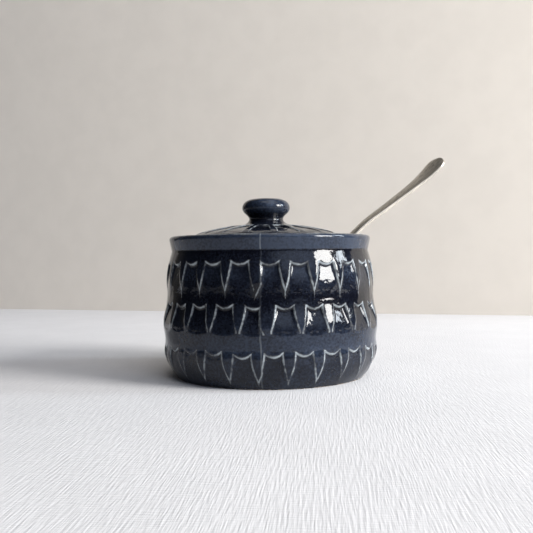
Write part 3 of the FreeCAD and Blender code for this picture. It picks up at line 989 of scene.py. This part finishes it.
class Wiring:
    """Adds nodes to a tree and wires them."""

    def __init__(self, tree):
        self.nodes = tree.nodes
        self.links = tree.links
        self.coords = self.nodes.new("ShaderNodeTexCoord")

    def node(self, kind, inputs=(), **options):
        made = self.nodes.new(kind)
        for key, value in options.items():
            setattr(made, key, value)
        for key, value in dict(inputs).items():
            self.feed(made.inputs[key], value)
        return made

    def feed(self, socket, value):
        if isinstance(value, bpy.types.NodeSocket):
            self.links.new(value, socket)
        else:
            socket.default_value = value

    def noise(self, scale, detail=2.0, roughness=0.5, vector=None):
        made = self.node("ShaderNodeTexNoise", {
            "Scale": scale, "Detail": detail, "Roughness": roughness,
            "Vector": vector or self.coords.outputs["Object"],
        })
        return made.outputs["Fac"]

    def attribute(self, name):
        return self.node("ShaderNodeAttribute", attribute_name=name).outputs["Fac"]

    def mapping(self, vector, **options):
        inputs = {"Vector": vector, **options}
        return self.node("ShaderNodeMapping", inputs, vector_type="POINT").outputs["Vector"]

    def ramp(self, value, low, high, out_low=0.0, out_high=1.0, smooth=True):
        inputs = {
            "Value": value, "From Min": low, "From Max": high,
            "To Min": out_low, "To Max": out_high,
        }
        kind = "SMOOTHSTEP" if smooth else "LINEAR"
        made = self.node("ShaderNodeMapRange", inputs, interpolation_type=kind)
        return made.outputs["Result"]

    def spread(self, noise, low=0.0, high=1.0, smooth=True):
        """The usual range of a noise drawn out to run from low to high."""
        return self.ramp(noise, NOISE_LOW, NOISE_HIGH, low, high, smooth)

    def math(self, operation, first, second=0.0):
        return self.node("ShaderNodeMath", {0: first, 1: second}, operation=operation).outputs[0]

    def mix(self, share, first, second):
        """A colour between two others: a Mix node's colour sockets are 6 and 7, and output 2."""
        inputs = {0: share, 6: first, 7: second}
        return self.node("ShaderNodeMix", inputs, data_type="RGBA").outputs[2]

    def bump(self, height, distance, strength=1.0, normal=None):
        made = self.node("ShaderNodeBump", {
            "Height": height, "Distance": distance, "Strength": strength,
        })
        if normal:
            self.feed(made.inputs["Normal"], normal)
        return made.outputs["Normal"]


class Finish(Wiring):
    """A material under construction."""

    def __init__(self, name):
        self.material = bpy.data.materials.new(name)
        self.material.use_nodes = True
        super().__init__(self.material.node_tree)
        self.shader = self.nodes["Principled BSDF"]

    def surface(self, key, value):
        self.feed(self.shader.inputs[key], value)

    def current(self, key):
        """What feeds a socket of the shader so far."""
        return self.shader.inputs[key].links[0].from_socket


def color(value):
    return (*value, 1.0)


def glaze_finish(name):
    """Gloss blue-black glaze: grey-green where it breaks over edges, with a painted highlight along
    those edges, fine speckle, soft ripple.
    """
    made = Finish(name)
    chosen = settings()
    cloud = made.noise(GLAZE_CLOUD, 3.0, 0.55)
    grain = made.noise(GLAZE_GRAIN, 3.0, 0.6)
    speck = made.noise(GLAZE_SPECK, 1.0)
    thick = made.math("ADD", made.attribute("thick"), made.spread(cloud, -0.12, 0.12))
    thick = made.math("ADD", thick, made.ramp(grain, 0.35, 0.65, -0.18, 0.18))
    thinned = made.ramp(thick, 0.0, 0.5, smooth=False)
    base = made.mix(thinned, color(chosen.wash_color), color(chosen.glaze_color))
    base = made.mix(made.ramp(thick, 0.45, 1.0, smooth=False), base, color(chosen.deep_color))
    patches = made.ramp(made.noise(GLAZE_PATCH), 0.35, 0.6, 0.45, 1.0)
    # The edge mask paints both thin glaze and a highlight along window edges and the lip.
    patchy = made.math("MULTIPLY", made.attribute("edge"), patches)
    wear_and_sheen = made.math("ADD", patchy, made.spread(grain, -0.1, 0.1))
    # Brown on the weaker parts of the edge mask: glaze break plus a painted reflection tint.
    base = made.mix(made.ramp(wear_and_sheen, 0.1, 0.45, 0.0, 0.4), base, color(BREAK_AND_REFLECTION_BROWN))
    base = made.mix(made.ramp(wear_and_sheen, 0.15, 1.0), base, color(chosen.thin_and_sheen_color))
    base = made.mix(made.ramp(speck, 0.64, 0.74, 0.0, 0.35), base, color(SPECK_COLOR))
    made.surface("Base Color", base)
    made.surface("Roughness", made.spread(cloud, 0.04, 0.09))
    made.surface("IOR", GLAZE_IOR)
    made.surface("Specular IOR Level", GLAZE_SPECULAR)
    fine = made.bump(grain, GRAIN_HEIGHT, 0.5)
    made.surface("Normal", made.bump(made.noise(GLAZE_RIPPLE), chosen.ripple_height, 0.6, fine))
    return made


def bowl_finish():
    """The glaze, with bare clay on the foot ring and a fine raised mould seam down two sides."""
    made = glaze_finish("bowl glaze")
    chosen = settings()
    split = made.node("ShaderNodeSeparateXYZ", {"Vector": made.coords.outputs["Object"]})

    def wandering(axis, scale, most):
        """A coordinate that strays a little, so that a line drawn at it isn't straight."""
        stray = made.spread(made.noise(scale), -most, most, smooth=False)
        return made.math("ADD", split.outputs[axis], stray)

    bare = made.ramp(wandering("Z", *CLAY_WANDER), *CLAY_EDGE, 1.0, 0.0)
    mottle = made.spread(made.noise(CLAY_GRAIN, 4.0, 0.7))
    clay = made.mix(mottle, color(chosen.clay_color), color(CLAY_DARK))
    across = made.math("ABSOLUTE", wandering("X", *SEAM_SWAY))
    ridge = made.ramp(across, 0.0, chosen.seam_width, 1.0, 0.0)
    rubbed = made.math("MULTIPLY", ridge, made.ramp(made.attribute("thick"), 0.1, 0.8, 0.24, 0.03))
    glazed = made.mix(rubbed, made.current("Base Color"), color(chosen.thin_and_sheen_color))
    made.surface("Base Color", made.mix(bare, glazed, clay))
    inputs = {0: bare, 2: made.current("Roughness"), 3: CLAY_ROUGHNESS}
    made.surface("Roughness", made.node("ShaderNodeMix", inputs, data_type="FLOAT").outputs[0])
    made.surface("Normal", made.bump(ridge, SEAM_HEIGHT, 0.6, made.current("Normal")))
    return made.material


def steel_finish():
    """Satin steel: long fine scratches along the spoon and a few cloudy smears."""
    made = Finish("spoon steel")
    chosen = settings()
    place = made.coords.outputs["Object"]
    place = made.mapping(place, Rotation=(0.0, 0.0, -math.radians(SPOON_AZIMUTH)))
    place = made.mapping(place, Rotation=(0.0, math.radians(SPOON_SLOPE), 0.0))
    streak = made.noise(STEEL_STREAK, 2.0, 0.6, made.mapping(place, Scale=STEEL_STREAK_SCALE))
    smear = made.noise(STEEL_SMEAR, 3.0, 0.55)
    smeared = color([part * STEEL_SMEAR_SHADE for part in chosen.steel_color])
    base = made.mix(made.ramp(smear, 0.35, 0.65), color(chosen.steel_color), smeared)
    made.surface("Base Color", base)
    made.surface("Metallic", STEEL_METALLIC)
    rough = made.math("ADD", made.spread(streak, 0.16, 0.28), made.spread(smear, 0.0, 0.08))
    made.surface("Roughness", rough)
    made.surface("Normal", made.bump(streak, STEEL_STREAK_HEIGHT, 0.5))
    return made.material


def stage_finish(name, value, scale, thread=None):
    """Matt paint with faint clouds, or a weave of uneven threads if a thread scale is given."""
    made = Finish(name)
    share = made.spread(made.noise(scale), 0.0, 0.5)
    if thread:
        place = made.coords.outputs["Object"]
        turn = (0.0, 0.0, THREAD_TURN)
        ways = [
            made.noise(thread, 1.0, 0.5, made.mapping(place, Scale=stretch, Rotation=turn))
            for stretch in THREAD_SCALES
        ]
        woven = made.math("MULTIPLY", made.math("ADD", *ways), 0.5)
        share = made.math("ADD", share, made.ramp(woven, 0.38, 0.62, 0.5, 0.0))
        made.surface("Normal", made.bump(woven, THREAD_HEIGHT, 0.33))
    shaded = color([part * STAGE_SHADE for part in value])
    made.surface("Base Color", made.mix(share, color(value), shaded))
    made.surface("Roughness", STAGE_ROUGHNESS)
    made.surface("Specular IOR Level", STAGE_SPECULAR)
    return made.material


# ---------------------------------------------------------------- operators


class SUGARBOWL_OT_stage(bpy.types.Operator):
    """Make the table, the wall, the lights and the camera"""

    bl_idname = "sugarbowl.stage"
    bl_label = "Studio"

    def execute(self, context):
        chosen = settings()
        edge = Matrix.Translation((0, STAGE_BACK, 0))
        edge = edge @ Matrix.Rotation(math.radians(STAGE_TURN), 4, "Z")
        level = edge @ Matrix.Translation((0, -TABLE_SIZE[1] / 2, 0))
        floor = self.sheet("table_top", TABLE_SIZE, level)
        cloth = stage_finish("table cloth", chosen.floor_color, TABLE_CLOUD, TABLE_THREAD)
        floor.data.materials.append(cloth)
        upright = edge @ Matrix.Translation((0, 0, WALL_MIDDLE))
        upright = upright @ Matrix.Rotation(math.pi / 2, 4, "X")
        wall = self.sheet("wall", WALL_SIZE, upright)
        wall.data.materials.append(stage_finish("wall paint", chosen.wall_color, WALL_CLOUD))
        for lamp in LAMPS:
            self.lamp(**lamp)
        self.room(context)
        context.scene.view_settings.view_transform = "Standard"
        self.camera(context)
        return {"FINISHED"}

    def sheet(self, name, size, place):
        """A flat sheet of a width and a depth, its middle at a place."""
        bm = bmesh.new()
        segments = SHEET_SEGMENTS
        bmesh.ops.create_grid(bm, x_segments=segments, y_segments=segments, size=0.5)
        bmesh.ops.scale(bm, vec=(*size, 1.0), verts=bm.verts)
        bmesh.ops.transform(bm, matrix=place, verts=bm.verts)
        mesh = bpy.data.meshes.new(name)
        bm.to_mesh(mesh)
        bm.free()
        return place_object(name, mesh)

    def lamp(self, name, azimuth, elevation, distance, size, power, share, tint):
        """A rectangular light that shines at the bowl and isn't seen itself."""
        lamp = bpy.data.lights.new(name, "AREA")
        lamp.shape = "RECTANGLE"
        lamp.size, lamp.size_y = size
        lamp.energy = getattr(settings(), power) * share
        lamp.color = tint
        made = place_object(name, lamp)
        turn = math.radians(azimuth)
        rise = math.radians(elevation)
        level = math.cos(rise)
        towards = Vector((math.sin(turn) * level, -math.cos(turn) * level, math.sin(rise)))
        made.location = towards * distance + Vector((0, 0, LAMP_AIM))
        made.rotation_euler = towards.to_track_quat("Z", "Y").to_euler()
        made.visible_camera = False

    def room(self, context):
        """A pale background, and in reflections a dim room, darker behind the camera."""
        world = bpy.data.worlds.new("dim_room")
        world.use_nodes = True
        made = Wiring(world.node_tree)
        towards = made.coords.outputs["Generated"]
        split = made.node("ShaderNodeSeparateXYZ", {"Vector": towards})
        share = made.ramp(split.outputs["Y"], *ROOM_FADE, smooth=False)
        dim = made.mix(share, color(ROOM_NEAR), color(ROOM_FAR))
        inputs = {0: towards, 1: GLOW_TOWARDS}
        facing = made.node("ShaderNodeVectorMath", inputs, operation="DOT_PRODUCT")
        glow = made.ramp(facing.outputs["Value"], GLOW_FROM, 1.0)
        reflected = made.nodes["Background"]
        made.feed(reflected.inputs["Color"], made.mix(glow, dim, color(GLOW_COLOR)))
        seen = made.node("ShaderNodeBackground", {"Color": color(BACKGROUND_COLOR)})
        looks = made.node("ShaderNodeLightPath").outputs["Is Camera Ray"]
        inputs = {0: looks, 1: reflected.outputs[0], 2: seen.outputs[0]}
        either = made.node("ShaderNodeMixShader", inputs)
        made.feed(made.nodes["World Output"].inputs["Surface"], either.outputs[0])
        context.scene.world = world

    def camera(self, context):
        """The camera in front of the bowl, turned, tilted and rolled a little."""
        lens = bpy.data.cameras.new("camera")
        lens.lens = CAMERA_LENS
        lens.sensor_width = CAMERA_SENSOR
        lens.clip_start = CAMERA_CLIP
        made = place_object("camera", lens)
        azimuth = math.radians(CAMERA_AZIMUTH)
        out = CAMERA_DISTANCE
        made.location = (out * math.sin(azimuth), -out * math.cos(azimuth), CAMERA_HEIGHT)
        turned = Matrix.Rotation(azimuth + math.radians(CAMERA_TURN), 3, "Z")
        turned = turned @ Matrix.Rotation(math.radians(90.0 - CAMERA_TILT), 3, "X")
        turned = turned @ Matrix.Rotation(math.radians(CAMERA_ROLL), 3, "Z")
        made.rotation_euler = turned.to_euler()
        context.scene.camera = made


class SUGARBOWL_OT_bowl(bpy.types.Operator):
    """Make the carved, glazed bowl"""

    bl_idname = "sugarbowl.bowl"
    bl_label = "Bowl"

    def execute(self, context):
        profile, carved_rows, rim_rows = bowl_rows()
        columns = 2 * HALF_COLUMNS * WINDOWS
        start = TIERS[0]["phase"]
        bm = spin_profile(profile, columns, start)
        shape = shape_bowl(profile, carved_rows, rim_rows, columns, start)
        piece = finish_piece(bm, "carved_bowl", columns, start, shape)
        piece.data.materials.append(bowl_finish())
        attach(piece, "bowl")
        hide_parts("bowl")
        return {"FINISHED"}


class SUGARBOWL_OT_lid(bpy.types.Operator):
    """Make the lid with its knob"""

    bl_idname = "sugarbowl.lid"
    bl_label = "Lid"

    def execute(self, context):
        profile, knob_rows, dome_rows = lid_rows()
        columns = 2 * LID_HALF_COLUMNS * LID_WINDOWS
        bm = spin_profile(profile, columns, 0.0)
        shape = shape_lid(profile, knob_rows, dome_rows, columns, 0.0)
        piece = finish_piece(bm, "knobbed_lid", columns, 0.0, shape)
        piece.data.materials.append(glaze_finish("lid glaze").material)
        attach(piece, "lid")
        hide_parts("lid")
        return {"FINISHED"}


class SUGARBOWL_OT_spoon(bpy.types.Operator):
    """Make the steel spoon"""

    bl_idname = "sugarbowl.spoon"
    bl_label = "Spoon"

    def execute(self, context):
        bm = spoon_mesh()
        mesh = bpy.data.meshes.new("steel_spoon")
        bm.to_mesh(mesh)
        bm.free()
        mesh.polygons.foreach_set("use_smooth", [True] * len(mesh.polygons))
        piece = place_object("steel_spoon", mesh)
        mesh.materials.append(steel_finish())
        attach(piece, "spoon")
        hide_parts("spoon")
        return {"FINISHED"}


class SUGARBOWL_PT_pieces(bpy.types.Panel):
    """Lists the pieces of the sugar bowl"""

    bl_idname = "SUGARBOWL_PT_pieces"
    bl_label = "Sugar Bowl"
    bl_space_type = "VIEW_3D"
    bl_region_type = "UI"
    bl_category = "Sugar Bowl"

    def draw(self, context):
        layout = self.layout
        chosen = context.scene.sugar_bowl
        for name in SugarBowlSettings.__annotations__:
            layout.prop(chosen, name)
        for operator in OPERATORS:
            layout.operator(operator.bl_idname)


OPERATORS = (SUGARBOWL_OT_stage, SUGARBOWL_OT_bowl, SUGARBOWL_OT_lid, SUGARBOWL_OT_spoon)
CLASSES = (SugarBowlSettings, *OPERATORS, SUGARBOWL_PT_pieces)


def register():
    for made in CLASSES:
        bpy.utils.register_class(made)
    bpy.types.Scene.sugar_bowl = bpy.props.PointerProperty(type=SugarBowlSettings)


def unregister():
    del bpy.types.Scene.sugar_bowl
    for made in reversed(CLASSES):
        bpy.utils.unregister_class(made)


def main():
    register()
    bpy.ops.sugarbowl.stage()
    bpy.ops.sugarbowl.bowl()
    bpy.ops.sugarbowl.lid()
    bpy.ops.sugarbowl.spoon()


if __name__ == "__main__":
    main()
